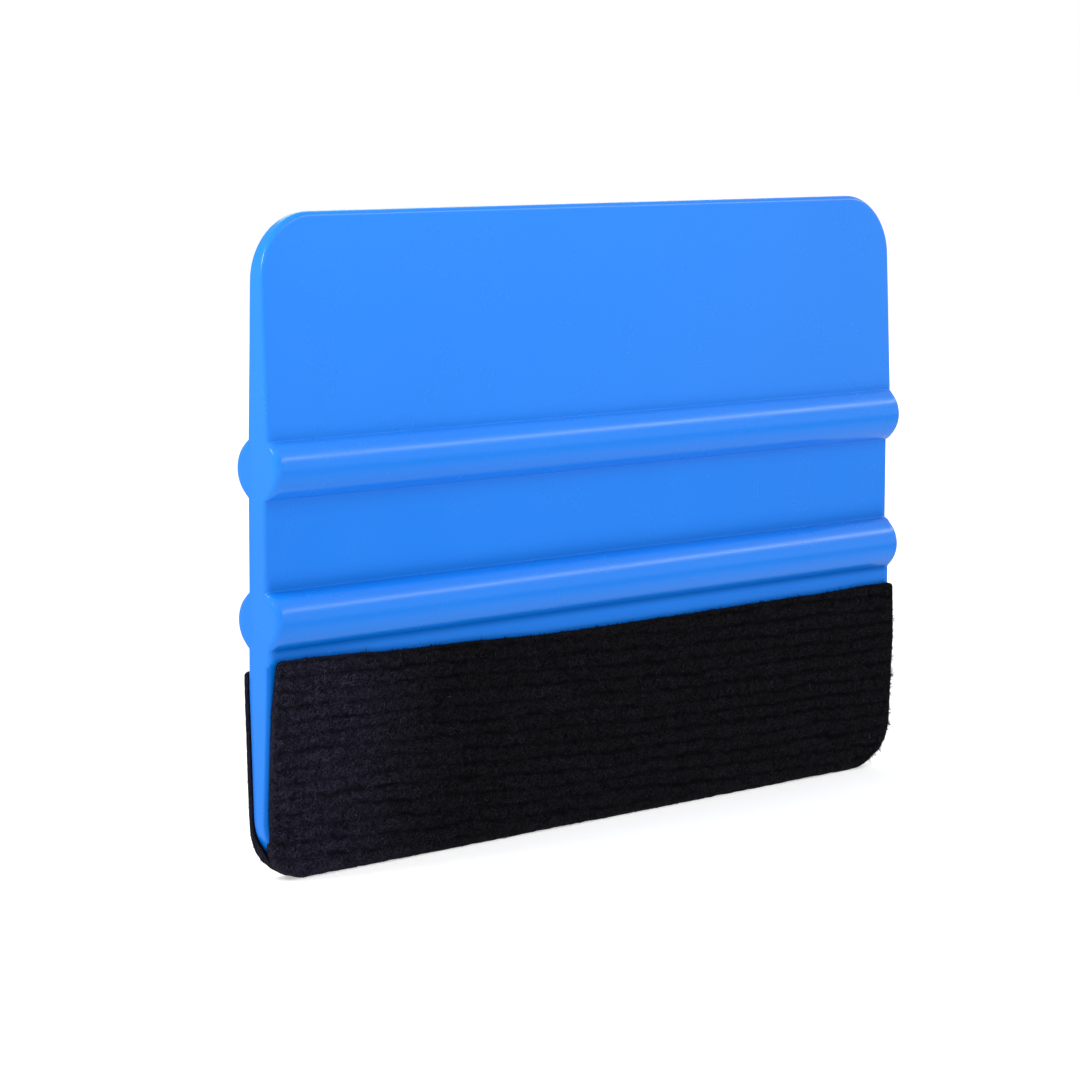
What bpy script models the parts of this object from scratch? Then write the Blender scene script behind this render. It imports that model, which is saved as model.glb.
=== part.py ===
"""Felt-edge squeegee applicator: a moulded plastic card with two round grip beads and a folded felt strip.

Metres, +Z up. The card stands on its working edge: X runs along the edge, -Y is the front face, and the origin is
the middle of the edge at the bottom of the felt. Three solids: blade_body, adhesive_film and felt_strip.
"""

import math

import bmesh
import bpy

MM = 0.001

# ---- overall size (mm) ----
WIDTH = 100.0  # across the working edge
HEIGHT = 70.0  # bottom of the felt fold to the top of the card
CARD_CORNER = 7.0  # upper corner radius of the card, seen from the front
CARD_LOW = 6.0  # lower corner radius, inside the felt
END_ROUND = 0.45  # rounding of the card's edges at its two ends
BEAD_END_ROUND = 0.60  # the same at the ends of the beads
TOP_ROUND = 0.75  # half thickness over which the top edge is rounded

# ---- grip beads: full-width round bars moulded through the card (mm) ----
BEAD_HIGH_Z = 43.48
BEAD_HIGH_R = 3.42
BEAD_LOW_Z = 27.60
BEAD_LOW_R = 3.38
FILLET_GRIP = 0.20  # where a bead meets the webs
FILLET_FELT = 0.15  # tighter fillet above the felt

# ---- web faces, distance from the plane of the bead centres (mm) ----
FRONT_TOP, BACK_TOP = 0.72, 0.92  # at the top edge
FRONT_FOOT, BACK_FOOT = 1.72, 1.50  # just above the upper bead
FRONT_MID, BACK_MID = 1.20, 1.54  # between the beads
FRONT_LOW, BACK_LOW = 1.74, 1.63  # below the lower bead
TAPER_START_Z = 20.5  # the card thins from here to its edge
TIP_HALF = 0.80  # half thickness at the working edge

# ---- felt and its adhesive (mm) ----
TIP_Z = 0.90  # the card's own lowest point
FELT_STACK = 0.80  # adhesive and felt together, on each face
FELT_CORNER = 5.5  # corner radius of the trimmed felt
FELT_INSET = 0.12  # the felt ends this much short of the card at each side
FELT_TOP_Z = 22.9  # height of the felt's cut edge on the front
FELT_BACK_TOP_Z = 22.2  # and on the back
FLAT_HALF = 0.80  # half width of the flat at the bottom of the fold
CLOSE_Z = 2.70  # below this height the two layers meet outside the card's corners
FILM = 0.10  # adhesive thickness
GAP = 0.03  # clearance between neighbouring solids
FILM_INSET = 0.70  # the adhesive stops short of the felt's sides
FILM_TOP_DROP = 0.5  # and of its cut edge

HALF = WIDTH / 2


def clear_objects():
    for obj in list(bpy.data.objects):
        bpy.data.objects.remove(obj, do_unlink=True)


def lerp(a, b, t):
    return a + (b - a) * max(0.0, min(1.0, t))


def web(z, top, foot, mid, low):
    """Distance of a web face from the centre plane at height z, without the beads."""
    if z >= BEAD_HIGH_Z:
        return lerp(foot, top, (z - BEAD_HIGH_Z - BEAD_HIGH_R) / (HEIGHT - BEAD_HIGH_Z - BEAD_HIGH_R))
    if z >= BEAD_LOW_Z:
        return mid
    if z >= TAPER_START_Z:
        return low
    return lerp(TIP_HALF, low, (z - TIP_Z) / (TAPER_START_Z - TIP_Z))


def bead_offset(z, centre, radius, fillet, face):
    """Height of a bead above the centre plane, or None where the web alone is left."""
    d = abs(z - centre)
    reach = math.sqrt((radius + fillet) ** 2 - (face + fillet) ** 2)
    if d >= reach:
        return None
    if d <= reach * radius / (radius + fillet):
        return math.sqrt(radius**2 - d**2)
    return face + fillet - math.sqrt(max(0.0, fillet**2 - (reach - d) ** 2))


def bead_reach(radius, fillet, face):
    return math.sqrt((radius + fillet) ** 2 - (face + fillet) ** 2)


def side(z, top, foot, mid, low):
    """Distance of one whole face, front or back, from the centre plane at height z."""
    y = web(z, top, foot, mid, low)
    if z >= BEAD_HIGH_Z:
        b = bead_offset(z, BEAD_HIGH_Z, BEAD_HIGH_R, FILLET_GRIP, foot)
    elif z >= (BEAD_HIGH_Z + BEAD_LOW_Z) / 2:
        b = bead_offset(z, BEAD_HIGH_Z, BEAD_HIGH_R, FILLET_GRIP, mid)
    elif z >= BEAD_LOW_Z:
        b = bead_offset(z, BEAD_LOW_Z, BEAD_LOW_R, FILLET_GRIP, mid)
    else:
        b = bead_offset(z, BEAD_LOW_Z, BEAD_LOW_R, FILLET_FELT, low)
    if b is not None:
        y = max(y, b)
    tip = TIP_HALF
    if z < TIP_Z + tip:
        y = min(y, math.sqrt(max(0.0, tip**2 - (TIP_Z + tip - z) ** 2)) * y / tip)
    if z > HEIGHT - TOP_ROUND:
        k = (z - (HEIGHT - TOP_ROUND)) / TOP_ROUND
        y *= math.sqrt(max(0.0, 1.0 - k**2))
    return y


def front(z):
    return side(z, FRONT_TOP, FRONT_FOOT, FRONT_MID, FRONT_LOW)


def back(z):
    return side(z, BACK_TOP, BACK_FOOT, BACK_MID, BACK_LOW)


def outline(z, half, bottom, top, r_bottom, r_top):
    """Half width at height z of a rounded rectangle from bottom to top."""
    if r_bottom and z < bottom + r_bottom:
        return half - r_bottom + math.sqrt(max(0.0, r_bottom**2 - (bottom + r_bottom - z) ** 2))
    if r_top and z > top - r_top:
        return half - r_top + math.sqrt(max(0.0, r_top**2 - (z - top + r_top) ** 2))
    return half


def end_round(z):
    """Rounding of the card's ends at height z, larger where a bead stands out of the webs."""
    proud = (min(front(z), back(z)) - 1.55) / 0.8
    return lerp(END_ROUND, BEAD_END_ROUND, proud if TAPER_START_Z < z < HEIGHT - CARD_CORNER else 0.0)


def card_outline(z):
    return outline(z, HALF, TIP_Z, HEIGHT, CARD_LOW, CARD_CORNER)


def arc_levels(start, radius, steps, upward=True):
    """Heights along a quarter round of a corner that starts at height start."""
    out = []
    for i in range(steps + 1):
        a = math.pi / 2 * i / steps
        h = radius * (1 - math.cos(a))
        out.append(start + h if upward else start - h)
    return out


def bead_levels(centre, radius, fillet_up, face_up, fillet_down, face_down, steps=5, fillet_steps=3):
    out = [centre]
    for sign, fillet, face in ((1, fillet_up, face_up), (-1, fillet_down, face_down)):
        reach = bead_reach(radius, fillet, face)
        turn = math.asin(reach / (radius + fillet))
        for i in range(1, steps + 1):
            out.append(centre + sign * radius * math.sin(turn * i / steps))
        for i in range(1, fillet_steps + 1):
            a = turn * (1 - i / fillet_steps)
            out.append(centre + sign * (reach - fillet * math.sin(a)))
    return out


def tidy(levels, low, high, least=0.02):
    out = []
    for z in sorted(z for z in levels if low - 1e-9 <= z <= high + 1e-9):
        if not out or z - out[-1] >= least:
            out.append(z)
    return out


def ring(z, half, y_front, y_back, rounding, steps=3):
    """A closed rounded rectangle at height z, seen from above, anticlockwise."""
    r = max(1e-3, min(rounding, 0.48 * (y_front + y_back), half * 0.4))
    corners = (
        (half - r, -y_front + r, -90),
        (half - r, y_back - r, 0),
        (-half + r, y_back - r, 90),
        (-half + r, -y_front + r, 180),
    )
    points = []
    for cx, cy, start in corners:
        for i in range(steps + 1):
            a = math.radians(start + 90.0 * i / steps)
            points.append((cx + r * math.cos(a), cy + r * math.sin(a), z))
    return points


def loft(name, rings):
    """One closed solid through rings of the same length, capped at both ends."""
    bm = bmesh.new()
    loops = [[bm.verts.new((x * MM, y * MM, z * MM)) for x, y, z in r] for r in rings]
    count = len(loops[0])
    for low, high in zip(loops, loops[1:]):
        for i in range(count):
            j = (i + 1) % count
            bm.faces.new((low[i], low[j], high[j], high[i]))
    bm.faces.new(list(reversed(loops[0])))
    bm.faces.new(loops[-1])
    bmesh.ops.recalc_face_normals(bm, faces=bm.faces)
    mesh = bpy.data.meshes.new(name)
    bm.to_mesh(mesh)
    bm.free()
    obj = bpy.data.objects.new(name, mesh)
    bpy.context.scene.collection.objects.link(obj)
    return obj


def material(name, colour, roughness, metallic=0.0, alpha=1.0):
    mat = bpy.data.materials.new(name)
    mat.use_nodes = True
    bsdf = next(n for n in mat.node_tree.nodes if n.type == "BSDF_PRINCIPLED")
    bsdf.inputs["Base Color"].default_value = (*colour, 1.0)
    bsdf.inputs["Roughness"].default_value = roughness
    bsdf.inputs["Metallic"].default_value = metallic
    bsdf.inputs["Alpha"].default_value = alpha
    return mat


def smooth(obj, angle=35.0):
    obj.data.shade_smooth()
    obj.data.set_sharp_from_angle(angle=math.radians(angle))


def cut(obj, cutter):
    cutter.hide_render = True
    cutter.display_type = "WIRE"
    mod = obj.modifiers.new("opening", "BOOLEAN")
    mod.operation = "DIFFERENCE"
    mod.solver = "EXACT"
    mod.object = cutter


def card_levels(grow=0.0):
    """Heights of the card's rings, for the card itself or for a surface grown outwards from it."""
    levels = arc_levels(TIP_Z, CARD_LOW, 9)
    levels += [TIP_Z + TIP_HALF * (1 - math.cos(math.radians(a))) for a in (8, 26, 45, 66, 90)]
    levels += [TAPER_START_Z, FELT_TOP_Z]
    levels += bead_levels(BEAD_LOW_Z, BEAD_LOW_R, FILLET_GRIP, FRONT_MID, FILLET_FELT, FRONT_LOW)
    levels += bead_levels(BEAD_HIGH_Z, BEAD_HIGH_R, FILLET_GRIP, FRONT_FOOT, FILLET_GRIP, FRONT_MID)
    levels += arc_levels(HEIGHT, CARD_CORNER, 9, upward=False)
    levels += [HEIGHT - TOP_ROUND * (1 - math.sin(math.radians(a))) for a in (0, 30, 55, 74)]
    return levels


def build_blade():
    levels = tidy(card_levels(), TIP_Z, HEIGHT, 0.03)
    levels = [z for z in levels if TIP_Z + 0.005 < z < HEIGHT - 0.005]
    rings = [ring(TIP_Z, card_outline(TIP_Z), 0.12, 0.12, END_ROUND)]
    rings += [ring(z, card_outline(z), front(z), back(z), end_round(z)) for z in levels]
    rings += [ring(HEIGHT, card_outline(HEIGHT), 0.15, 0.18, END_ROUND)]
    blade = loft("blade_body", rings)
    blade.data.materials.append(material("blade_plastic", (0.035, 0.235, 0.87), 0.28))
    smooth(blade)
    return blade


def sleeve_levels(bottom, top, corner_bottom, corner):
    levels = arc_levels(corner_bottom, corner, 9) + arc_levels(TIP_Z, CARD_LOW, 9)
    levels += [TIP_Z + TIP_HALF * (1 - math.cos(math.radians(a))) for a in (8, 26, 45, 66, 90)]
    levels += [TAPER_START_Z, bottom, top]
    return tidy(levels, bottom, top, 0.05)


def grown(z, offset, face):
    """A face of the card moved outwards by offset, round the tip as well."""
    if z < TIP_Z + TIP_HALF:
        radius = TIP_HALF + offset
        drop = TIP_Z + TIP_HALF - z
        flank = face(TIP_Z + TIP_HALF) + offset
        return math.sqrt(max(0.0, radius**2 - drop**2)) * flank / radius
    return face(z) + offset


def sleeve_cutter(name, offset, open_above):
    """The card's lower part grown by offset; above open_above it runs out past both ends."""
    bottom = TIP_Z - offset
    rings = []
    levels = [z for z in sleeve_levels(bottom, 24.0, TIP_Z, CARD_LOW) if z > bottom + 0.01]
    last = None
    for z in [bottom + 0.004] + levels:
        closed = card_outline(max(z, TIP_Z)) + offset
        wide = HALF + 3.0
        if open_above is not None and z <= open_above:
            half = closed
        elif open_above is not None and last is not None and last <= open_above < z:
            rings.append(ring(open_above, card_outline(open_above) + offset, grown(open_above, offset, front),
                              grown(open_above, offset, back), 0.02))
            rings.append(ring(open_above + 0.02, wide, grown(open_above + 0.02, offset, front),
                              grown(open_above + 0.02, offset, back), 0.02))
            half = wide
        else:
            half = wide
        y_front = max(0.05, grown(z, offset, front))
        y_back = max(0.05, grown(z, offset, back))
        rings.append(ring(z, half, y_front, y_back, 0.02))
        last = z
    cutter = loft(name, rings)
    return cutter


def felt_outer(z, face):
    """Outside of the felt: the stack on the card's face, brought round to the flat at the bottom of the fold."""
    turn = TIP_HALF + FELT_STACK
    flank = face(TIP_Z + TIP_HALF) + FELT_STACK
    if z < turn:
        k = math.sqrt(max(0.0, 1.0 - ((turn - z) / turn) ** 2))
        return FLAT_HALF + (flank - FLAT_HALF) * k
    if z < TIP_Z + TIP_HALF:
        return flank
    return face(z) + FELT_STACK


def felt_outline(z):
    return outline(z, HALF - FELT_INSET, 0.0, HEIGHT, FELT_CORNER, 0.0)


def build_felt():
    levels = arc_levels(0.0, FELT_CORNER, 10)
    levels += [(TIP_HALF + FELT_STACK) * (1 - math.cos(math.radians(a))) for a in (15, 32, 50, 70, 90)]
    levels += [TAPER_START_Z, FELT_BACK_TOP_Z]
    levels = tidy(levels, 0.0, FELT_BACK_TOP_Z, 0.06)
    rings = [ring(z, felt_outline(z), felt_outer(z, front), felt_outer(z, back), 0.12, steps=2) for z in levels]
    # the front layer stands a little higher than the back one
    step = FELT_BACK_TOP_Z + 0.02
    rings.append(ring(step, felt_outline(step), felt_outer(step, front), -front(step) + 0.3, 0.12, steps=2))
    rings.append(ring(FELT_TOP_Z, felt_outline(FELT_TOP_Z), felt_outer(FELT_TOP_Z, front),
                      -front(FELT_TOP_Z) + 0.3, 0.12, steps=2))
    felt = loft("felt_strip", rings)
    felt.data.materials.append(material("felt_black", (0.012, 0.012, 0.015), 0.95))
    cut(felt, sleeve_cutter("felt_opening", FILM + 2 * GAP, CLOSE_Z))
    smooth(felt)
    return felt


def build_film():
    offset = GAP + FILM
    bottom = TIP_Z - offset
    top = FELT_BACK_TOP_Z - FILM_TOP_DROP
    levels = [z for z in sleeve_levels(bottom, top, TIP_Z, CARD_LOW) if z > bottom + 0.01]
    rings = []
    for z in [bottom + 0.004] + levels:
        half = card_outline(max(z, TIP_Z)) - FELT_INSET - FILM_INSET
        rings.append(ring(z, half, max(0.1, grown(z, offset, front)), max(0.1, grown(z, offset, back)), 0.02))
    film = loft("adhesive_film", rings)
    film.data.materials.append(material("adhesive", (0.62, 0.58, 0.46), 0.35))
    cut(film, sleeve_cutter("film_opening", GAP, None))
    smooth(film)
    return film


clear_objects()
tool = bpy.data.objects.new("squeegee_applicator", None)
bpy.context.scene.collection.objects.link(tool)
for piece in (build_blade(), build_film(), build_felt()):
    piece.parent = tool
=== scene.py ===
"""Looks of the felt-edge squeegee applicator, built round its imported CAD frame.

Everything is in the row frame: X along the working edge, -Y out of the front face, Z up from the felt fold.
Lengths in the tables below are millimetres.
"""

import math

import bmesh
import bpy
import numpy as np
from mathutils import Matrix, Vector


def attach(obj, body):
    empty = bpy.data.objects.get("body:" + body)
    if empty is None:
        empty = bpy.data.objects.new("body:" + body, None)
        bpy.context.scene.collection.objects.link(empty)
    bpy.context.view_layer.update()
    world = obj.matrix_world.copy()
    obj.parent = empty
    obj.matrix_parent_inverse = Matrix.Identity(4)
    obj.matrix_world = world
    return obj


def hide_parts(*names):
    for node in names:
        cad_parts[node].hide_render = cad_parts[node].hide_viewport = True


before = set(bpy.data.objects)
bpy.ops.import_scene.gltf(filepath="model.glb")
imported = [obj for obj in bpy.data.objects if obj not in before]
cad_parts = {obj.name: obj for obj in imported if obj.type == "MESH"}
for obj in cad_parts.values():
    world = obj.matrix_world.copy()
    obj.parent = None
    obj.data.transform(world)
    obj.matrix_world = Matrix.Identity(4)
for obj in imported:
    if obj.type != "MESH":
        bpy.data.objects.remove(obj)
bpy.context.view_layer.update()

MM = 0.001
rng = np.random.RandomState(7)

# ---------------------------------------------------------------- the card's shape, as in the CAD
WIDTH, HEIGHT, CARD_CORNER, CARD_LOW = 100.0, 70.0, 7.0, 6.0
HALF = WIDTH / 2
BEAD_HIGH_Z, BEAD_HIGH_R = 43.48, 3.42
BEAD_LOW_Z, BEAD_LOW_R = 27.60, 3.38
FILLET_GRIP, FILLET_FELT = 0.11, 0.08
FRONT = (0.72, 1.72, 1.20, 1.74)  # at the top edge, above the upper bead, between the beads, below them
BACK = (0.92, 1.50, 1.54, 1.63)
TAPER_START_Z, TIP_HALF, TIP_Z = 20.5, 0.80, 0.90
FELT_STACK = 0.80


def lerp(a, b, t):
    return a + (b - a) * max(0.0, min(1.0, t))


def step(a, b, x):
    """Smooth step from 0 at a to 1 at b, for numbers or arrays."""
    t = np.clip((np.asarray(x, float) - a) / (b - a), 0.0, 1.0)
    return t * t * (3 - 2 * t)


def web(z, faces):
    top, foot, mid, low = faces
    if z >= BEAD_HIGH_Z:
        return lerp(foot, top, (z - BEAD_HIGH_Z - BEAD_HIGH_R) / (HEIGHT - BEAD_HIGH_Z - BEAD_HIGH_R))
    if z >= BEAD_LOW_Z:
        return mid
    if z >= TAPER_START_Z:
        return low
    return lerp(TIP_HALF, low, (z - TIP_Z) / (TAPER_START_Z - TIP_Z))


def bead_reach(radius, fillet, face):
    return math.sqrt((radius + fillet) ** 2 - (face + fillet) ** 2)


def bead_offset(z, centre, radius, fillet, face):
    d = abs(z - centre)
    reach = bead_reach(radius, fillet, face)
    if d >= reach:
        return 0.0
    if d <= reach * radius / (radius + fillet):
        return math.sqrt(radius**2 - d**2)
    return face + fillet - math.sqrt(max(0.0, fillet**2 - (reach - d) ** 2))


def face_of(z, faces):
    """Distance of one face of the card from the centre plane at height z, beads included."""
    top, foot, mid, low = faces
    if z >= BEAD_HIGH_Z:
        b = bead_offset(z, BEAD_HIGH_Z, BEAD_HIGH_R, FILLET_GRIP, foot)
    elif z >= (BEAD_HIGH_Z + BEAD_LOW_Z) / 2:
        b = bead_offset(z, BEAD_HIGH_Z, BEAD_HIGH_R, FILLET_GRIP, mid)
    elif z >= BEAD_LOW_Z:
        b = bead_offset(z, BEAD_LOW_Z, BEAD_LOW_R, FILLET_GRIP, mid)
    else:
        b = bead_offset(z, BEAD_LOW_Z, BEAD_LOW_R, FILLET_FELT, low)
    return max(web(z, faces), b)


TABLE_Z = np.linspace(-2.0, 72.0, 7401)
TABLE_FRONT = np.array([face_of(z, FRONT) for z in TABLE_Z])
TABLE_BACK = np.array([face_of(z, BACK) for z in TABLE_Z])


def front(z):
    return np.interp(z, TABLE_Z, TABLE_FRONT)


def back(z):
    return np.interp(z, TABLE_Z, TABLE_BACK)


def slope(face, z):
    return (face(z + 0.02) - face(z - 0.02)) / 0.04


# ---------------------------------------------------------------- smooth random fields
def value_noise(x, y, seed):
    """Smooth noise from 0 to 1 with a cell size of 1."""
    x, y = np.broadcast_arrays(np.asarray(x, float), np.asarray(y, float))
    ix, iy = np.floor(x).astype(np.int64), np.floor(y).astype(np.int64)
    fx, fy = x - ix, y - iy
    fx, fy = fx * fx * (3 - 2 * fx), fy * fy * (3 - 2 * fy)

    def at(i, j):
        h = (i * 374761393 + j * 668265263 + seed * 974634777) & 0xFFFFFFFF
        h = ((h ^ (h >> 13)) * 1274126177) & 0xFFFFFFFF
        return ((h ^ (h >> 16)) & 0xFFFF) / 65535.0

    low = at(ix, iy) * (1 - fx) + at(ix + 1, iy) * fx
    high = at(ix, iy + 1) * (1 - fx) + at(ix + 1, iy + 1) * fx
    return low * (1 - fy) + high * fy


# ---------------------------------------------------------------- meshes
def mesh_object(name, verts, faces, smooth=True, recalc=False, values=None):
    mesh = bpy.data.meshes.new(name)
    mesh.from_pydata((np.asarray(verts, float) * MM).tolist(), [], faces if isinstance(faces, list) else faces.tolist())
    if recalc:
        bm = bmesh.new()
        bm.from_mesh(mesh)
        bmesh.ops.recalc_face_normals(bm, faces=bm.faces)
        bm.to_mesh(mesh)
        bm.free()
    mesh.polygons.foreach_set("use_smooth", [smooth] * len(mesh.polygons))
    if values is not None:
        for key, value in values.items():
            layer = mesh.attributes.new(key, "FLOAT", "POINT")
            layer.data.foreach_set("value", np.asarray(value, np.float32))
    mesh.update()
    obj = bpy.data.objects.new(name, mesh)
    bpy.context.scene.collection.objects.link(obj)
    return obj


def grid_quads(index):
    a, b = index[:-1, :-1], index[:-1, 1:]
    c, d = index[1:, 1:], index[1:, :-1]
    return np.stack([a, b, c, d], -1).reshape(-1, 4)


# ---------------------------------------------------------------- nodes
class Nodes:
    """A material's node tree, with short calls for the nodes used here."""

    def __init__(self, name):
        self.mat = bpy.data.materials.new(name)
        self.mat.use_nodes = True
        self.tree = self.mat.node_tree
        self.tree.nodes.clear()
        self.out = self.tree.nodes.new("ShaderNodeOutputMaterial")
        self.bsdf = self.tree.nodes.new("ShaderNodeBsdfPrincipled")
        self.link(self.bsdf.outputs[0], self.out.inputs["Surface"])
        self.coords = self.tree.nodes.new("ShaderNodeTexCoord").outputs["Object"]

    def link(self, a, b):
        self.tree.links.new(a, b)

    def put(self, node, key, value):
        socket = node.inputs[key]
        if isinstance(value, bpy.types.NodeSocket):
            self.link(value, socket)
        else:
            socket.default_value = value

    def shader(self, **values):
        for key, value in values.items():
            self.put(self.bsdf, key.replace("_", " "), value)

    def scaled(self, scale=(1, 1, 1), turn=(0, 0, 0)):
        node = self.tree.nodes.new("ShaderNodeMapping")
        self.link(self.coords, node.inputs["Vector"])
        node.inputs["Scale"].default_value = scale
        node.inputs["Rotation"].default_value = turn
        return node.outputs[0]

    def noise(self, scale, detail=2.0, rough=0.5, vector=None, distortion=0.0):
        node = self.tree.nodes.new("ShaderNodeTexNoise")
        self.link(vector or self.coords, node.inputs["Vector"])
        for key, value in (("Scale", scale), ("Detail", detail), ("Roughness", rough), ("Distortion", distortion)):
            node.inputs[key].default_value = value
        return node.outputs["Fac"]

    def map(self, value, a, b, c, d, smooth=False):
        node = self.tree.nodes.new("ShaderNodeMapRange")
        node.interpolation_type = "SMOOTHSTEP" if smooth else "LINEAR"
        for i, v in enumerate((value, a, b, c, d)):
            self.put(node, i, v)
        return node.outputs[0]

    def math(self, kind, a, b=0.0):
        node = self.tree.nodes.new("ShaderNodeMath")
        node.operation = kind
        self.put(node, 0, a)
        self.put(node, 1, b)
        return node.outputs[0]

    def mix(self, fac, a, b):
        node = self.tree.nodes.new("ShaderNodeMix")
        node.data_type = "RGBA"
        sockets = [s for s in node.inputs if s.enabled]
        for s, v in zip(sockets, (fac, a, b)):
            if isinstance(v, bpy.types.NodeSocket):
                self.link(v, s)
            else:
                s.default_value = v
        return next(s for s in node.outputs if s.enabled)

    def attribute(self, name):
        node = self.tree.nodes.new("ShaderNodeAttribute")
        node.attribute_name = name
        return node.outputs["Fac"]

    def bump(self, height, distance, strength=1.0):
        node = self.tree.nodes.new("ShaderNodeBump")
        self.link(height, node.inputs["Height"])
        node.inputs["Distance"].default_value = distance
        node.inputs["Strength"].default_value = strength
        return node.outputs[0]


def plastic_material():
    n = Nodes("blade_plastic")
    cloud = n.noise(45.0, 3.0)
    blue = n.mix(n.map(cloud, 0.3, 0.7, 0.0, 1.0), (0.0015, 0.220, 0.900, 1), (0.0025, 0.229, 0.920, 1))
    # creases and the card's ends along the felt are painted darker, as painted shade
    crease_shade = n.attribute("crease_shade")
    n.shader(Base_Color=n.mix(crease_shade, blue, (0.001, 0.020, 0.150, 1)))
    # handling marks: long fine scratches in two directions and a soft uneven gloss
    marks = []
    for turn, scale in (((0, 0.5, 0), (90, 900, 5200)), ((0, -0.9, 0), (70, 900, 6400))):
        line = n.noise(1.0, 1.0, 0.4, n.scaled(scale, turn))
        marks.append(n.map(line, 0.76, 0.86, 0.0, 1.0))
    scratch = n.math("MAXIMUM", marks[0], marks[1])
    gloss = n.map(n.noise(160.0, 4.0, 0.6), 0.3, 0.7, 0.235, 0.285)
    n.shader(Roughness=n.math("ADD", gloss, n.math("MULTIPLY", scratch, 0.03)))
    grain = n.noise(1900.0, 2.0, 0.55)
    height = n.math("SUBTRACT", n.math("MULTIPLY", grain, 0.25), n.math("MULTIPLY", scratch, 0.10))
    # the painted shade also weakens the plastic's reflection in the creases
    n.shader(Normal=n.bump(height, 0.000005), IOR=1.49, Specular_IOR_Level=n.map(crease_shade, 0.0, 0.42, 0.45, 0.04))
    n.shader(Subsurface_Weight=0.0)
    return n.mat


def felt_material():
    n = Nodes("felt_black")
    fibres = n.noise(3600.0, 5.0, 0.62, distortion=1.4)
    patches = n.noise(420.0, 3.0, 0.6)
    groove = n.attribute("groove")
    light = n.math("MULTIPLY", n.map(fibres, 0.41, 0.59, 0.05, 1.0), n.map(patches, 0.3, 0.7, 0.75, 1.2))
    # the rows' grooves are painted darker, as painted shade
    light = n.math("MULTIPLY", light, n.map(groove, 0.0, 1.0, 1.0, 0.10))
    # painted light: the felt is painted lighter and more violet where the mask is set
    lit_share = n.attribute("painted_light")
    black = n.mix(light, (0.0007, 0.0007, 0.0010, 1), (0.0094, 0.0092, 0.0118, 1))
    lit_felt = n.mix(light, (0.0020, 0.0019, 0.0040, 1), (0.0255, 0.0240, 0.0420, 1))
    n.shader(Base_Color=n.mix(lit_share, black, lit_felt))
    n.shader(Roughness=n.map(patches, 0.3, 0.7, 0.88, 1.0), Specular_IOR_Level=0.03)
    n.shader(Sheen_Weight=0.01, Sheen_Roughness=0.6, Sheen_Tint=(0.8, 0.78, 1.0, 1))
    tuft = n.math("ADD", n.math("MULTIPLY", fibres, 0.7), n.math("MULTIPLY", n.noise(9000.0, 2.0), 0.3))
    n.shader(Normal=n.bump(tuft, 0.00009, 0.9))
    return n.mat


def nap_material(name, low, high, lit_low, lit_high, sheen=0.01):
    n = Nodes(name)
    shade = n.attribute("shade")
    along = n.noise(5200.0, 2.0)
    level = n.math("MULTIPLY", shade, n.map(along, 0.3, 0.7, 0.75, 1.2))
    # painted light: the nap is painted lighter and more violet where the mask is set
    n.shader(Base_Color=n.mix(n.attribute("painted_light"), n.mix(level, low, high), n.mix(level, lit_low, lit_high)))
    n.shader(Roughness=n.map(along, 0.3, 0.7, 0.8, 1.0), Specular_IOR_Level=0.03)
    n.shader(Sheen_Weight=sheen, Sheen_Roughness=0.6, Sheen_Tint=(0.8, 0.78, 1.0, 1))
    return n.mat


def adhesive_material():
    n = Nodes("adhesive")
    cloud = n.noise(300.0, 4.0, 0.6)
    n.shader(Base_Color=n.mix(n.map(cloud, 0.3, 0.7, 0.0, 1.0), (0.50, 0.46, 0.35, 1), (0.66, 0.62, 0.50, 1)))
    n.shader(Roughness=n.map(n.noise(1200.0, 3.0), 0.3, 0.7, 0.28, 0.45), Alpha=0.72)
    n.shader(Normal=n.bump(n.noise(2500.0, 3.0), 0.00002))
    return n.mat


def floor_material():
    n = Nodes("pale_floor")
    n.shader(Base_Color=n.mix(n.noise(9.0, 3.0), (0.885, 0.885, 0.885, 1), (0.905, 0.905, 0.905, 1)))
    n.shader(Roughness=n.map(n.noise(40.0, 2.0), 0.3, 0.7, 0.85, 0.95), Specular_IOR_Level=0.2)
    n.shader(Emission_Color=(1, 1, 1, 1), Emission_Strength=0.42)
    return n.mat


# ---------------------------------------------------------------- the blade
SIDE_ROUND, BEAD_ROUND, TOP_ROUND = 0.33, 0.60, 0.68


def blade_levels():
    start = TIP_Z + CARD_LOW
    z = [start + i * (TAPER_START_Z - start) / 8 for i in range(9)]
    z += [21.4, 22.0, 22.3, 22.6, 22.9, 23.2, 23.5, 23.8]
    for centre, radius, up, down in (
        (BEAD_LOW_Z, BEAD_LOW_R, (FILLET_GRIP, 1.37), (FILLET_FELT, 1.68)),
        (BEAD_HIGH_Z, BEAD_HIGH_R, (FILLET_GRIP, 1.67), (FILLET_GRIP, 1.37)),
    ):
        for sign, (fillet, face) in ((1, up), (-1, down)):
            reach = bead_reach(radius, fillet, face)
            turn = math.asin(reach / (radius + fillet))
            z += [centre + sign * radius * math.sin(turn * i / 24) for i in range(25)]
            z += [centre + sign * (reach - fillet * math.sin(turn * (1 - i / 4))) for i in range(1, 5)]
            z += [centre + sign * (reach + v) for v in (0.05, 0.15, 0.35, 0.7)]
    z += list(np.linspace(32.0, 39.4, 9)) + list(np.linspace(48.0, 63.0, 16))
    out = []
    for v in sorted(z):
        if not out or v - out[-1] > 0.015:
            out.append(v)
    return [v for v in out if start <= v <= 63.0]


def proud(z):
    """How far a height is within a bead, from 0 on a web to 1."""
    f = (min(float(front(z)), float(back(z))) - 1.55) / 0.8
    return float(step(0.0, 1.0, f)) if 21 < z < 60 else 0.0


def edge_round(e, z, sign):
    """Rounding of the card's ends on one face, larger on the front of the beads."""
    return e + (0.08 if sign < 0 else -0.10) * proud(z)


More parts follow.
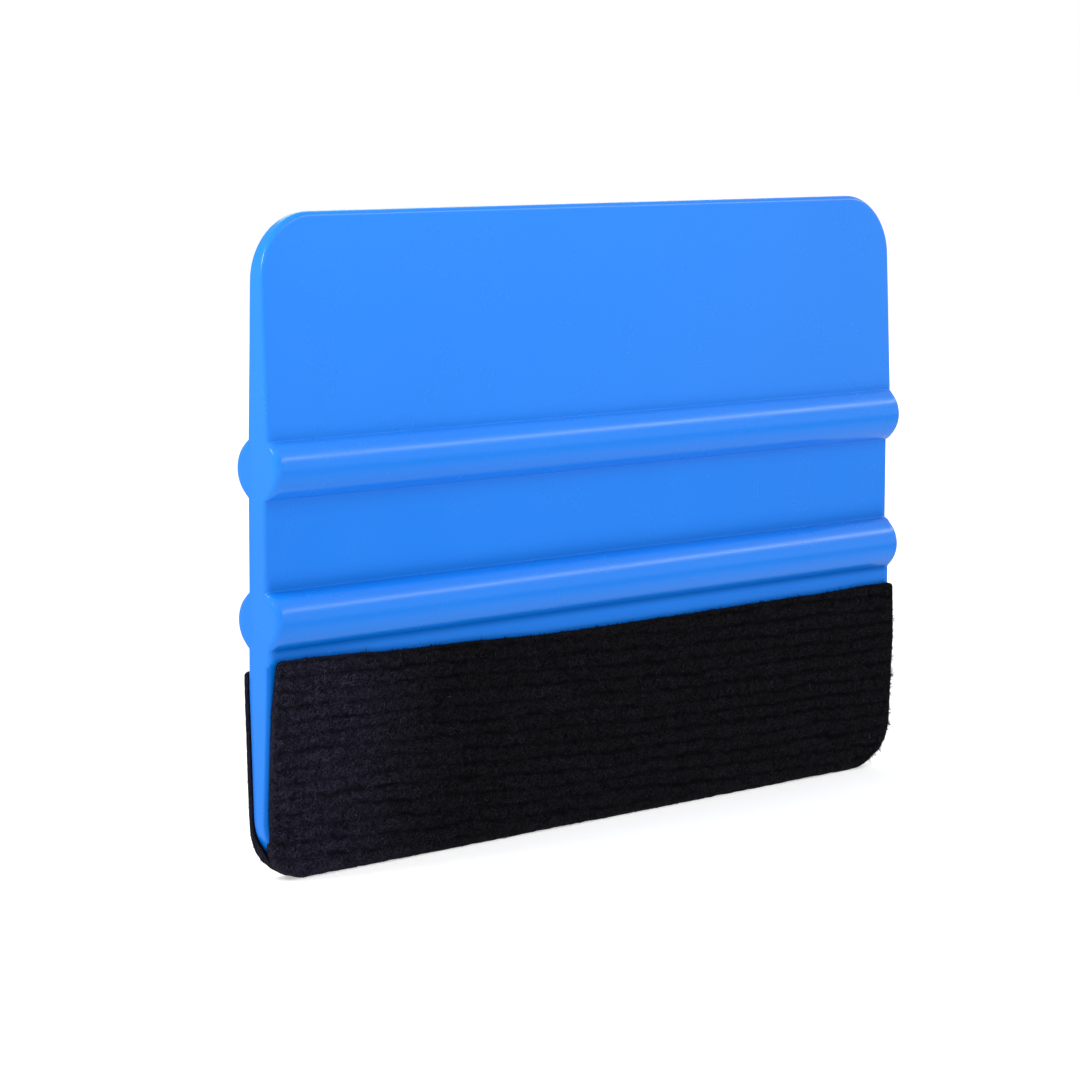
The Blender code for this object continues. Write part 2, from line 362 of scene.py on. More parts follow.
def painted_shade_at(x, y, z):
    """How much painted shade the moulding gets at a point, from 0, strongest in its creases and along the felt's cut
    edge.
    """
    faces, radius = (FRONT, 1.0) if y < 0 else (BACK, 1.0)
    top, foot, mid, low = faces
    high = BEAD_HIGH_Z + math.sqrt(BEAD_HIGH_R**2 - foot**2)
    over = BEAD_LOW_Z + math.sqrt(BEAD_LOW_R**2 - mid**2)
    under = BEAD_LOW_Z - math.sqrt(BEAD_LOW_R**2 - low**2)
    total = 0.0
    for centre, amount, below, above in ((high, 0.13, 0.30, 0.9), (over, 0.30, 0.42, 1.15), (under, 0.42, 0.52, 0.62)):
        d = z - centre
        total = max(total, amount * math.exp(-((d / (above if d > 0 else below)) ** 2)))
    d = z - float(felt_top(x, -1 if y < 0 else 1))
    if z < under:
        total = max(total, 0.08, 0.42 * math.exp(-((max(d, 0.0) / 0.5) ** 2)))
    return total


def build_blade():
    # one row for each point of the right-hand outline: x and z of the edge, its outward direction, its rounding
    rows = []
    for i in range(23):
        b = math.radians(90 - 90 * i / 22)
        e = lerp(SIDE_ROUND, TOP_ROUND, math.sin(b) ** 2)
        rows.append((HALF - 7 + 7 * math.cos(b), HEIGHT - 7 + 7 * math.sin(b), math.cos(b), math.sin(b), e))
    for z in reversed(blade_levels()[1:-1]):
        rows.append((HALF, z, 1.0, 0.0, lerp(SIDE_ROUND, BEAD_ROUND, proud(z))))
    for i in range(19):
        b = math.radians(90 * i / 18)
        rows.append((HALF - CARD_LOW + CARD_LOW * math.cos(b), TIP_Z + CARD_LOW - CARD_LOW * math.sin(b),
                     math.cos(b), -math.sin(b), SIDE_ROUND))
    columns = np.sin(np.linspace(-1, 1, 109) * math.pi / 2) * 0.35 + np.linspace(-1, 1, 109) * 0.65
    nr, nc = len(rows), len(columns)

    def waves(x, z, seed):
        """Slight unevenness of moulded plastic, in mm."""
        return 0.022 * (value_noise(x / 17 + 3, z / 11 + 5, seed) - 0.5) + 0.006 * (value_noise(x / 5, z / 4, seed + 1) - 0.5)

    verts, faces = [], []
    sheets = []
    for sign, face, seed in ((-1, front, 11), (1, back, 21)):
        index = np.zeros((nr, nc), int)
        for r, (xo, zo, nx, nz, e) in enumerate(rows):
            e = edge_round(e, zo, sign)
            half, z = xo - nx * e, zo - nz * e
            x = half * columns
            y = face(z) + waves(x, z, seed)
            index[r] = np.arange(len(verts), len(verts) + nc)
            verts.extend(zip(x, sign * y, np.full(nc, z)))
        faces.extend((grid_quads(index) if sign < 0 else grid_quads(index)[:, ::-1]).tolist())
        sheets.append(index)

    # the loop round the outline: top, right side, bottom, left side
    loop = [(0, c, columns[c] * rows[0][0], rows[0][1], 0.0, 1.0, rows[0][4]) for c in range(nc)]
    loop += [(r, nc - 1, *rows[r]) for r in range(1, nr)]
    loop += [(nr - 1, c, columns[c] * rows[-1][0], rows[-1][1], 0.0, -1.0, rows[-1][4]) for c in range(nc - 2, -1, -1)]
    loop += [(r, 0, -rows[r][0], rows[r][1], -rows[r][2], rows[r][3], rows[r][4]) for r in range(nr - 2, 0, -1)]
    count = len(loop)
    steps = 7
    rims = []
    for sign, face, index in ((-1, front, sheets[0]), (1, back, sheets[1])):
        rings = [[index[r, c] for r, c, *_ in loop]]
        for k in range(1, steps + 1):
            phi = math.pi / 2 * k / steps
            ring = []
            for r, c, xo, zo, nx, nz, e in loop:
                e = edge_round(e, zo, sign)
                _, y0, z0 = verts[index[r, c]]
                z_in = zo - nz * e
                q = min(e, 0.93 * float(face(z_in)))
                drop = q * (1 - math.cos(phi))
                d = e * (1 - math.sin(phi))
                s = float(slope(face, z_in)) if abs(nz) < 1e-6 else 0.0
                norm = math.sqrt(1 + s * s)
                ring.append(len(verts))
                verts.append((xo - nx * d, y0 - sign * drop / norm, zo - nz * d + drop * s / norm))
            rings.append(ring)
        for a, b in zip(rings, rings[1:]):
            faces.extend([a[i], a[(i + 1) % count], b[(i + 1) % count], b[i]] for i in range(count))
        rims.append(rings[-1])
    # the flat of the edge between the two rounded rims
    last = rims[0]
    for k in range(1, 13):
        if k == 12:
            ring = rims[1]
        else:
            ring = []
            for a, b in zip(*rims):
                ring.append(len(verts))
                verts.append(tuple(np.array(verts[a]) * (1 - k / 12) + np.array(verts[b]) * k / 12))
        faces.extend([last[i], last[(i + 1) % count], ring[(i + 1) % count], ring[i]] for i in range(count))
        last = ring
    # painted shade for each point of the blade: in the creases, along the felt's edges and on the back of each end
    # strip
    painted_shade = []
    for x, y, z in verts:
        on_face = painted_shade_at(x, y, z) * float(step(49.75, 49.35, abs(x)) * step(0.0, 0.6, abs(y)))
        # the shaded lines where the card's end meets the two layers of felt
        side = -1 if y < 0 else 1
        from_face = float((front if y < 0 else back)(max(z, 1.8))) - abs(y)
        tucked = float(step(0.72, 0.22, from_face)) if z < float(felt_top(x, side)) and abs(x) > 47.5 else 0.0
        # the back part of each end strip, behind the mould's parting line, is painted a shade darker, as painted shade
        behind = 0.05 * float(step(0.75, 1.05, y)) if abs(x) > 49.6 and 8 < z < 63 else 0.0
        painted_shade.append(max(on_face, 0.36 * tucked, behind))
    return mesh_object("blade", verts, faces, recalc=True, values={"crease_shade": painted_shade})


# ---------------------------------------------------------------- the felt
FELT_HALF, FELT_CORNER = 49.93, 5.5
CORNER_X = FELT_HALF - FELT_CORNER
MOUTH_X = 48.15  # beyond this the two layers are open at the corner
INNER = 0.16  # clearance and adhesive between card and felt
FRONT_EDGE = ((-50, 23.55), (-45, 23.55), (-40, 23.42), (-35, 23.15), (-29, 22.97), (-23, 22.88), (-17, 22.68), (-11, 22.45),
              (0, 22.4), (15, 22.42), (22, 22.5), (36, 22.52), (44, 22.68), (50, 22.72))
ROW_PITCH = 1.65
ROW_X = np.linspace(-52.0, 52.0, 105)
ROW_DRIFT = np.cumsum(np.interp(ROW_X, (-50, -36, -23, 2, 14, 27, 39, 50), (0.034, 0.042, 0.060, 0.060, 0.036, 0.034, 0.026, 0.022)))


def felt_top(x, side):
    """Height of the cut edge, a little crooked, with its corners just taken off."""
    x = np.asarray(x, float)
    if side < 0:
        z = np.interp(x, *np.array(FRONT_EDGE).T) + 0.06 * (value_noise(x / 2.3, 0.0, 31) - 0.5)
    else:
        z = 22.2 + 0.25 * (value_noise(x / 19, 4.0, 32) - 0.5) + 0.06 * (value_noise(x / 2.1, 9.0, 33) - 0.5)
    from_end = FELT_HALF - np.abs(x)
    r = 0.55
    return z - r * (1 - np.sqrt(np.clip(1 - (1 - np.clip(from_end, 0, r) / r) ** 2, 0, 1)))


def felt_bottom(x):
    over = np.clip(np.abs(x) - CORNER_X, 0, FELT_CORNER)
    return FELT_CORNER - np.sqrt(np.maximum(0, FELT_CORNER**2 - over**2))


def outside_card(x, z):
    """Distance outside the card's rounded corner, negative within it."""
    dx = np.maximum(np.abs(x) - (HALF - CARD_LOW), 0)
    dz = np.maximum(TIP_Z + CARD_LOW - z, 0)
    return np.where((dx > 0) & (dz > 0), np.hypot(dx, dz) - CARD_LOW, -9.0)


def inner_face(x, z, side):
    f = (front if side < 0 else back)(np.maximum(z, TIP_Z + TIP_HALF)) + INNER
    return f * (1 - step(0.10, 0.60, outside_card(x, z)))


def outer_face(x, z, side):
    f = (front if side < 0 else back)(np.maximum(z, TIP_Z + TIP_HALF)) + FELT_STACK
    return f * (1 - 0.30 * step(-0.4, 1.7, outside_card(x, z)))


LEFT_CUT = ((0.0, 1.6, 2.4, 3.3, 5.0, 6.6, 8.0, 26.0), (0.0, 0.0, 0.26, 0.42, 0.40, 0.20, 0.10, 0.10))


def edge_shift(x, z, side):
    """The strip stands a little past the card's right end, and its front was trimmed crooked near its upper ends."""
    past = np.clip((x - 25) / 25, 0, 1) ** 2 * np.interp(z, (0.0, 1.0, 3.0, 5.5, 8.0, 16.0, 20.0), (0.28, 0.40, 0.58, 0.54, 0.44, 0.42, 0.30))
    if side > 0:
        return past
    left = 0.72 * np.clip((z - 17.5) / 6.1, 0, 1.1) ** 1.4 + np.interp(z, *LEFT_CUT)
    left = left * np.clip((-x - 40) / 10, 0, 1) ** 2
    right = 0.34 * np.clip((z - 15.5) / 7.0, 0, 1.1) ** 1.4 * np.clip((x - 40) / 10, 0, 1) ** 2
    return past + left - right


def corner_columns(n_closed, n_open):
    a = math.asin((MOUTH_X - CORNER_X) / FELT_CORNER)
    angles = list(np.linspace(0, a, n_closed)) + list(np.linspace(a, math.pi / 2, n_open))[1:]
    return [CORNER_X + FELT_CORNER * math.sin(v) for v in angles], n_closed - 1


def felt_columns(n_middle, n_closed, n_open):
    corner, mouth = corner_columns(n_closed, n_open)
    middle = list(np.linspace(-CORNER_X, CORNER_X, n_middle))
    x = [-v for v in reversed(corner)] + middle[1:-1] + corner
    left = len(corner) - 1 - mouth
    right = len(x) - 1 - left
    return np.array(x), left, right


def felt_half(x, side, n_flank, n_turn, n_flat, outer):
    """One layer of the felt, rows from its cut edge to the middle of the fold. Returns arrays of x, y, z."""
    ax = np.abs(x)
    top = felt_top(x, side)
    if outer:
        bottom = felt_bottom(x)
        closing = step(45.0, MOUTH_X, ax)
        opening = step(MOUTH_X, MOUTH_X + 0.55, ax)
        turn = 1.6 + (0.40 - 1.6) * closing + (0.14 - 0.40) * opening
        flank_end = outer_face(x, bottom + turn, side)
        flat = 0.80 + (0.22 - 0.80) * closing
        flat = flat + (flank_end - 0.14 - flat) * opening
        end = np.where(ax > MOUTH_X + 1e-6, inner_face(x, bottom, side) + 0.03, 0.0)
    else:
        card = TIP_Z + CARD_LOW - np.sqrt(np.maximum(0, CARD_LOW**2 - np.clip(ax - (HALF - CARD_LOW), 0, CARD_LOW - 0.01) ** 2))
        closed = card - INNER
        bottom = closed + (felt_bottom(x) + 0.03 - closed) * step(45.5, MOUTH_X, ax)
        turn = 0.95 + (0.25 - 0.95) * step(45.5, MOUTH_X, ax)
        flank_end = inner_face(x, bottom + turn, side)
        flat = flank_end * step(MOUTH_X, MOUTH_X + 0.3, ax)
        end = np.where(ax > MOUTH_X + 1e-6, inner_face(x, bottom, side), 0.0)
        flat = np.maximum(flat, end)
    s = np.linspace(0, 1, n_flank)
    if outer:
        s = np.concatenate([[0, 0.0012, 0.0035, 0.0065], np.linspace(0.012, 1, n_flank - 4)])
    z = top[None, :] + (bottom + turn - top)[None, :] * s[:, None]
    X = np.broadcast_to(x, z.shape)
    y = (outer_face if outer else inner_face)(X, z, side)
    if outer:
        edge = 0.13
        near = np.minimum(FELT_HALF - np.abs(X), top[None, :] - z)
        near = np.where((np.abs(X) > CORNER_X) & (z < FELT_CORNER),
                        np.minimum(near, FELT_CORNER - np.hypot(np.abs(X) - CORNER_X, FELT_CORNER - z)), near)
        near = np.where((np.abs(X) < MOUTH_X) & (z < 8), np.maximum(near, edge), near)
        k = 1 - np.clip(near, 0, edge) / edge
        y = y - edge * (1 - np.sqrt(np.clip(1 - k**2, 0, 1)))
    ys, zs = [y], [z]
    start = y[-1]
    for i in range(1, n_turn + 1):
        a = math.pi / 2 * i / n_turn
        ys.append((np.minimum(flat, start) + (start - np.minimum(flat, start)) * math.cos(a))[None, :])
        zs.append((bottom + turn * (1 - math.sin(a)))[None, :])
    flat = np.minimum(flat, start)
    for i in range(1, n_flat + 1):
        ys.append((flat + (end - flat) * i / n_flat)[None, :])
        zs.append(bottom[None, :])
    y, z = np.vstack(ys), np.vstack(zs)
    X = np.broadcast_to(x, z.shape) + edge_shift(np.broadcast_to(x, z.shape), z, side)
    return X, side * y, z


def normals_of(x, y, z, side):
    p = np.stack([x, y, z], -1)
    du, dv = np.gradient(p, axis=0), np.gradient(p, axis=1)
    n = np.cross(du, dv)
    n /= np.maximum(np.linalg.norm(n, axis=-1, keepdims=True), 1e-9)
    flip = np.where(n[..., 1] * side < 0, -1.0, 1.0)
    n = n * flip[..., None]
    n[-1] = (0, 0, -1)
    return n


def rows_of(x, z, side):
    """Depth of the rows' grooves, from 0 to 1, at a point of the felt."""
    wander = 0.16 * (value_noise(x / 7.0, z / 3.0, 41 + side) - 0.5) + 0.10 * (value_noise(x / 2.2, z / 1.2, 43 + side) - 0.5)
    wander = wander + 0.11 * (value_noise(x / 0.9, z / 0.9, 44 + side) - 0.5)
    phase = (z + np.interp(x, ROW_X, ROW_DRIFT)) / ROW_PITCH + wander * 2.0
    across = np.abs((phase % 1.0) - 0.5) * 2
    depth = np.exp(-((across / 0.30) ** 2))
    broken = value_noise(x / 1.05, z / 1.4, 48 + side) - 0.5
    strength = 0.42 + 0.22 * step(-10.0, 30.0, x) + 0.66 * value_noise(x / 3.1 + 7, z / 1.4, 47 + side) + 0.75 * broken
    return np.clip(depth * strength, 0, 1)


def relief(x, z, side):
    """Height of the felt's worked surface in mm, and its groove value."""
    groove = rows_of(x, z, side)
    lumps = 0.085 * (value_noise(x / 0.62 + z * 0.5, z / 0.5, 51 + side) - 0.5)
    lumps = lumps + 0.075 * (value_noise(x / 0.95 - z * 0.9, z / 0.7, 53 + side) - 0.5)
    lumps = lumps + 0.07 * (value_noise(x / 3.3, z / 2.1, 55 + side) - 0.5)
    return lumps - 0.17 * groove + 0.035, groove


def painted_light(x, z, side):
    """How much the felt is painted lighter and more violet, as painted light, from 0 for ordinary felt: the left end of
    the front layer, the lower left rim of the back layer and the back layer towards its right end, with a random cloud.
    """
    lit_share = (1 - step(-46.0, -22.0, x)) if side < 0 else 0.35 * step(22.0, 46.0, x) + 0.8 * (1 - step(-49.2, -47.0, x))
    cloud = value_noise(np.asarray(x) / 9.0 + 2, np.asarray(z) / 5.0, 81 + side)
    return np.clip(lit_share + 0.22 * (cloud - 0.5), 0.0, 1.1)


def zip_strip(a, b, verts):
    """Triangles between two rows of vertices that run the same way."""
    def along(row):
        p = np.array([verts[i] for i in row])
        d = np.concatenate([[0], np.cumsum(np.linalg.norm(np.diff(p, axis=0), axis=1) + 1e-6)])
        return d / d[-1]

    ta, tb = along(a), along(b)
    i = j = 0
    out = []
    while i < len(a) - 1 or j < len(b) - 1:
        if j == len(b) - 1 or (i < len(a) - 1 and ta[i + 1] <= tb[j + 1]):
            out.append([a[i], a[i + 1], b[j]])
            i += 1
        else:
            out.append([a[i], b[j + 1], b[j]])
            j += 1
    return out


def felt_skin(verts, groove, columns, left, right, shape, outer):
    """Adds both layers of the outer or the inner side to verts. Returns faces and the sections of its border."""
    n_flank, n_turn, n_flat = shape
    faces, grids, indices = [], {}, {}
    for side in (-1, 1):
        x, y, z = felt_half(columns, side, n_flank, n_turn, n_flat, outer)
        n = normals_of(x, y, z, side)
        g = np.zeros(x.shape)
        if outer:
            d, g = relief(x, z, side)
            fade = np.minimum(1, np.clip((FELT_HALF - np.abs(columns))[None, :] / 0.5, 0.15, 1))
            fade = fade * np.clip(np.arange(x.shape[0])[:, None] / 4.0, 0.2, 1)
            fade = np.where(z < felt_bottom(columns)[None, :] + 1.2, fade * 0.55, fade)
            d, g = d * fade, g * np.minimum(1, fade)
            x, y, z = x + n[..., 0] * d, y + n[..., 1] * d, z + n[..., 2] * d * 0.8
            z = np.maximum(z, 0.0)
        index = np.arange(len(verts), len(verts) + x.size).reshape(x.shape)
        if side > 0:
            index = index - 0
            shared = [c for c in range(len(columns)) if left <= c <= right]
            keep = np.ones(x.shape, bool)
            keep[-1, shared] = False
            index[keep] = np.arange(len(verts), len(verts) + keep.sum())
            index[-1, shared] = indices[-1][-1, shared]
            verts.extend(np.stack([x, y, z], -1)[keep].tolist())
            groove.extend(g[keep].tolist())
        else:
            verts.extend(np.stack([x, y, z], -1).reshape(-1, 3).tolist())
            groove.extend(g.reshape(-1).tolist())
        indices[side] = index
        grids[side] = (np.stack([x, y, z], -1), n)
        quads = grid_quads(index)
        faces.extend(quads.tolist())
    f, b = indices[-1], indices[1]
    sections = [
        f[0, :], f[:, -1], f[-1, right:][::-1], b[-1, right:], b[:, -1][::-1],
        b[0, ::-1], b[:, 0], b[-1, : left + 1], f[-1, : left + 1][::-1], f[:, 0][::-1],
    ]
    return faces, [list(s) for s in sections], grids


def build_felt():
    verts, groove = [], []
    out_cols = felt_columns(272, 12, 16)
    in_cols = felt_columns(52, 7, 9)
    faces, border_out, grids = felt_skin(verts, groove, *out_cols, (90, 10, 3), True)
    inner_faces, border_in, _ = felt_skin(verts, groove, *in_cols, (34, 6, 2), False)
    faces += inner_faces
    for a, b in zip(border_out, border_in):
        faces += zip_strip(a, b, verts)
    faces = [f for f in faces if len(set(f)) == len(f)]
    v = np.array(verts)
    lit_amount = np.where(v[:, 1] < 0, painted_light(v[:, 0], v[:, 2], -1), painted_light(v[:, 0], v[:, 2], 1))
    felt = mesh_object("felt", verts, faces, recalc=True, values={"groove": groove, "painted_light": lit_amount})
    return felt, grids


# ---------------------------------------------------------------- loose fibres
def ribbons(name, base, along, normal, length, lift, width, shade, curl, segments=3, free=0.0):
    """Thin flat fibres. Each starts at base, runs along, rises by lift and bends by curl."""
    count = len(base)
    t = np.linspace(0, 1, segments + 1)[None, :, None]
    cross = np.cross(normal, along)
    path = (base[:, None, :] + along[:, None, :] * (length[:, None, None] * t)
            + cross[:, None, :] * (curl[:, None, None] * length[:, None, None] * t**2))
    arch = np.sin(math.pi * 0.92 * t) * (1 - free) + t**1.3 * free
    path = path + normal[:, None, :] * (lift[:, None, None] * arch - 0.02)
    tangent = np.gradient(path, axis=1)
    twist = rng.uniform(-0.9, 0.9, (count, 1, 3))
    across = np.cross(tangent, normal[:, None, :] + twist)
    across /= np.maximum(np.linalg.norm(across, axis=-1, keepdims=True), 1e-9)
    thin = width[:, None, None] * (1 - 0.75 * t**3) * 0.5
    verts = np.stack([path - across * thin, path + across * thin], 2).reshape(-1, 3)
    verts[:, 2] = np.maximum(verts[:, 2], 0.012)
    first = (np.arange(count) * (segments + 1) * 2)[:, None] + np.arange(segments)[None, :] * 2
    faces = np.stack([first, first + 1, first + 3, first + 2], -1).reshape(-1, 4)
    values = np.repeat(shade, (segments + 1) * 2)
    lit_amount = np.where(verts[:, 1] < 0, painted_light(verts[:, 0], verts[:, 2], -1), painted_light(verts[:, 0], verts[:, 2], 1))
    return mesh_object(name, verts, faces, values={"shade": values, "painted_light": lit_amount})


def unit(v):
    return v / np.maximum(np.linalg.norm(v, axis=-1, keepdims=True), 1e-9)


def surface_fibres(name, grid, side, count):
    points, normals = grid
    size = np.linalg.norm(np.gradient(points, axis=0), axis=-1) * np.linalg.norm(np.gradient(points, axis=1), axis=-1)
    size[:3] = 0
    size[-4:] = 0
    size[np.abs(points[..., 0]) > FELT_HALF - 0.25] = 0
    flat = size.reshape(-1)
    chosen = np.searchsorted(np.cumsum(flat) / flat.sum(), rng.uniform(0, 1, count))
    base, normal = points.reshape(-1, 3)[chosen], unit(normals.reshape(-1, 3)[chosen])
    base = base + rng.uniform(-0.17, 0.17, (count, 3)) * (1, 0, 1)
    depth = rows_of(base[:, 0], base[:, 2], side)
    angle = np.where(rng.uniform(0, 1, count) < 0.55, rng.normal(0, 0.55, count), rng.uniform(0, math.pi, count))
    angle = angle + np.where(rng.uniform(0, 1, count) < 0.5, math.pi, 0)
    tx = unit(np.cross(np.broadcast_to((0.0, 0.0, 1.0), normal.shape), normal) + (1e-6, 0, 0))
    tz = np.cross(normal, tx)
    along = tx * np.cos(angle)[:, None] + tz * np.sin(angle)[:, None]
    length = rng.uniform(0.28, 0.78, count) * (1 - 0.35 * depth)
    lift = rng.gamma(2.0, 0.026, count) + 0.015
    lift = np.clip(lift, 0.01, 0.20) * (1 - 0.5 * depth)
    base = base - along * (length * 0.4)[:, None]
    keep = (np.abs(base[:, 0]) < FELT_HALF - 0.35) & (base[:, 2] > 0.02)
    keep &= rng.uniform(0, 1, count) > depth * 0.75
    keep &= base[:, 2] - felt_bottom(base[:, 0]) > 0.15
    patch = value_noise(base[:, 0] / 1.9, base[:, 2] / 0.8, 61 + side)
    # fibres in the rows' grooves are painted darker, as painted shade; the rest is each fibre's own tone
    shade = np.clip(rng.gamma(2.2, 0.20, count) * (0.60 + 0.8 * patch) * (1 - 0.6 * depth), 0.02, 1.5)
    shade = np.where(rng.uniform(0, 1, count) < 0.28, 0.0, shade)
    width = rng.uniform(0.045, 0.10, count)
    curl = rng.normal(0, 0.5, count)
    args = [v[keep] for v in (base, along, normal, length, lift, width, shade, curl)]
    return ribbons(name, *args)


def edge_fibres(name, grids):
    """Frayed fibres along the cut edges of both layers."""
    parts = []

    def add(points, outward, normal, amount, reach, spread, ragged=False):
        seg = np.linalg.norm(np.diff(points, axis=0), axis=1)
        total = np.concatenate([[0], np.cumsum(seg)])
        count = int(total[-1] * amount)
        if count < 1:
            return
        at = rng.uniform(0, total[-1], count)
        base = np.stack([np.interp(at, total, points[:, i]) for i in range(3)], -1)
        out = np.stack([np.interp(at, total, outward[:, i]) for i in range(3)], -1)
        nor = np.broadcast_to(normal, base.shape)
        side_way = np.cross(out, nor)
        clump = value_noise(at / 0.55, 3.0 * amount, 71)
        along = unit(out + side_way * rng.normal(0, spread, count)[:, None]
                     + nor * rng.normal(0.22 if ragged else 0.0, 0.35, count)[:, None])
        base = base - out * 0.06 - nor * rng.uniform(0.0, 0.14 if ragged else 0.6, count)[:, None]
        length = reach * rng.uniform(0.25, 1.0, count) * (0.35 + 1.1 * clump**2)
        if ragged:
            tuft = value_noise(at / 0.30, 5.0, 73) * 0.6 + value_noise(at / 0.85, 6.0, 74) * 0.4
            length = reach * rng.uniform(0.35, 1.0, count) * (0.42 + 0.95 * step(0.25, 0.75, tuft))
        parts.append((base, along, unit(nor + out * 0.3), length, rng.uniform(-0.03, 0.06, count),
                      rng.uniform(0.045, 0.095, count), np.clip(rng.gamma(1.6, 0.2, count), 0.03, 1.2), rng.normal(0, 0.6, count)))

    for side in (-1, 1):
        p, _ = grids[side]
        normal = np.array([0.0, float(side), 0.0])
        for col, way in ((0, -1.0), (-1, 1.0)):
            flank = p[2:-13, col]
            out = np.tile((way, 0.0, 0.0), (len(flank), 1))
            low = flank[:, 2] < 19.5
            strong = side < 0 and way > 0
            if strong:
                add(flank[low], out[low], normal, 26, 0.62, 0.55, True)
                add(flank[~low], out[~low], normal, 8, 0.12, 0.5)
            else:
                add(flank, out, normal, 26, 0.18, 0.6)
            # round the corner, along the cut edge of this layer
            cols = [c for c in range(p.shape[1]) if p[0, c, 0] * way > CORNER_X - 0.5]
            arc = p[-12, cols]
            if way < 0:
                arc = arc[::-1]
            centre = np.array([way * CORNER_X, 0, FELT_CORNER])
            out = unit((arc - centre) * (1, 0, 1))
            keep = arc[:, 2] < FELT_CORNER + 0.2
            near = np.abs(arc[:, 0]) > 46.3
            keep &= near
            add(arc[keep], out[keep], normal, 26, 0.62 if strong else 0.18, 0.55, strong)
        top = p[0]
        out = np.tile((0.0, 0.0, 1.0), (len(top), 1))
        add(top[3:-3], out[3:-3], normal, 22, 0.28, 0.9)
        add(top[3:-3], out[3:-3], normal, 0.5, 0.6, 1.2)
    joined = [np.concatenate(v) for v in zip(*parts)]
    return ribbons(name, *joined, segments=3, free=0.6)


def lint(name, grids):
    """A few pale specks and hairs caught in the front of the felt."""
    spots = [(-2.6, 12.4, 0.9, 0.9), (-3.4, 11.6, 0.7, 2.1), (-1.9, 12.9, 0.6, 0.2), (-46.9, 2.6, 0.28, 0.9), (-46.4, 2.9, 0.25, 2.2),
             (-46.6, 1.5, 0.3, 0.3), (47.0, 3.1, 0.3, 0.6), (46.5, 3.6, 0.35, 2.0), (47.4, 3.9, 0.22, 1.2), (-38.9, 21.2, 0.4, 2.7),
             (-36.2, 19.9, 0.22, 0.4), (-41.5, 19.3, 0.2, 0.8), (-24.8, 17.1, 0.3, 2.4), (12.3, 15.9, 0.28, 0.5), (28.4, 8.7, 0.3, 2.0),
             (35.0, 17.6, 0.22, 0.3), (5.6, 6.2, 0.3, 2.6), (-14.1, 7.5, 0.25, 1.1), (-30.5, 10.4, 0.25, 0.7), (20.2, 20.1, 0.2, 2.2)]
    p, n = grids[-1]
    flat_p, flat_n = p.reshape(-1, 3), n.reshape(-1, 3)
    at = [int(np.argmin((flat_p[:, 0] - x) ** 2 + (flat_p[:, 2] - z) ** 2)) for x, z, _, _ in spots]
    base, normal = flat_p[at] + flat_n[at] * 0.06, unit(flat_n[at])
    tx = unit(np.cross(np.broadcast_to((0.0, 0.0, 1.0), normal.shape), normal))
    tz = np.cross(normal, tx)
    angle = np.array([s[3] for s in spots])[:, None]
    along = tx * np.cos(angle) + tz * np.sin(angle)
    length = np.array([s[2] for s in spots])
    count = len(spots)
    return ribbons(name, base, along, normal, length, np.full(count, 0.06), np.full(count, 0.036),
                   rng.uniform(0.4, 1.0, count), rng.normal(0, 0.5, count), segments=5)


# ---------------------------------------------------------------- the adhesive
def build_adhesive():
    """A thin sheet between card and felt, from just under one cut edge round the fold to the other."""
    half = 47.3
    x = np.concatenate([np.linspace(-half, -44, 14), np.linspace(-44, 44, 41)[1:-1], np.linspace(44, half, 14)])
    card = TIP_Z + CARD_LOW - np.sqrt(CARD_LOW**2 - np.clip(np.abs(x) - (HALF - CARD_LOW), 0, CARD_LOW - 0.01) ** 2)
    layers = []
    for offset in (0.035, 0.125):
        grid = []
        for side in (-1, 1):
            face = front if side < 0 else back
            top = felt_top(x, side) - 0.30
            low = card + 0.8
            s = np.linspace(0, 1, 26)[:, None]
            z = top + (low - top) * s
            grid_side = np.stack([np.broadcast_to(x, z.shape), side * (face(np.maximum(z, TIP_Z + TIP_HALF)) + offset), z], -1)
            rows = [grid_side]
            for i in range(1, 7):
                a = math.pi / 2 * i / 6
                flank = np.abs(grid_side[-1, :, 1])
                y = side * flank * math.cos(a)
                zz = low - (0.8 + offset) * math.sin(a)
                rows.append(np.stack([x, y, zz], -1)[None])
            full = np.concatenate(rows)
            grid.append(full if side < 0 else full[:-1][::-1])
        layers.append(np.concatenate(grid))
    rows, cols = layers[0].shape[:2]
    verts = np.concatenate([l.reshape(-1, 3) for l in layers])
    inner = np.arange(rows * cols).reshape(rows, cols)
    outer = inner + rows * cols
    faces = grid_quads(inner)[:, ::-1].tolist() + grid_quads(outer).tolist()
    loop = [(0, c) for c in range(cols)] + [(r, cols - 1) for r in range(1, rows)]
    loop += [(rows - 1, c) for c in range(cols - 2, -1, -1)] + [(r, 0) for r in range(rows - 2, 0, -1)]
    for (r, c), (r2, c2) in zip(loop, loop[1:] + loop[:1]):
        faces.append([int(inner[r, c]), int(inner[r2, c2]), int(outer[r2, c2]), int(outer[r, c])])
    return mesh_object("adhesive_layer", verts, faces, recalc=True)


# ---------------------------------------------------------------- pieces
plastic, felt_black, adhesive = plastic_material(), felt_material(), adhesive_material()
# each nap's last two colours are its painted light
nap_black = nap_material("felt_nap", (0.0010, 0.0010, 0.0014, 1), (0.0190, 0.0185, 0.0240, 1),
                         (0.0040, 0.0037, 0.0070, 1), (0.0480, 0.0440, 0.0800, 1))
lint_pale = nap_material("lint", (0.02, 0.02, 0.02, 1), (0.12, 0.11, 0.11, 1), (0.02, 0.02, 0.02, 1), (0.12, 0.11, 0.11, 1), sheen=0.0)

blade = build_blade()
blade.data.materials.append(plastic)
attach(blade, "root")
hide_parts("blade_body")

felt, grids = build_felt()
felt.data.materials.append(felt_black)
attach(felt, "root")
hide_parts("felt_strip")

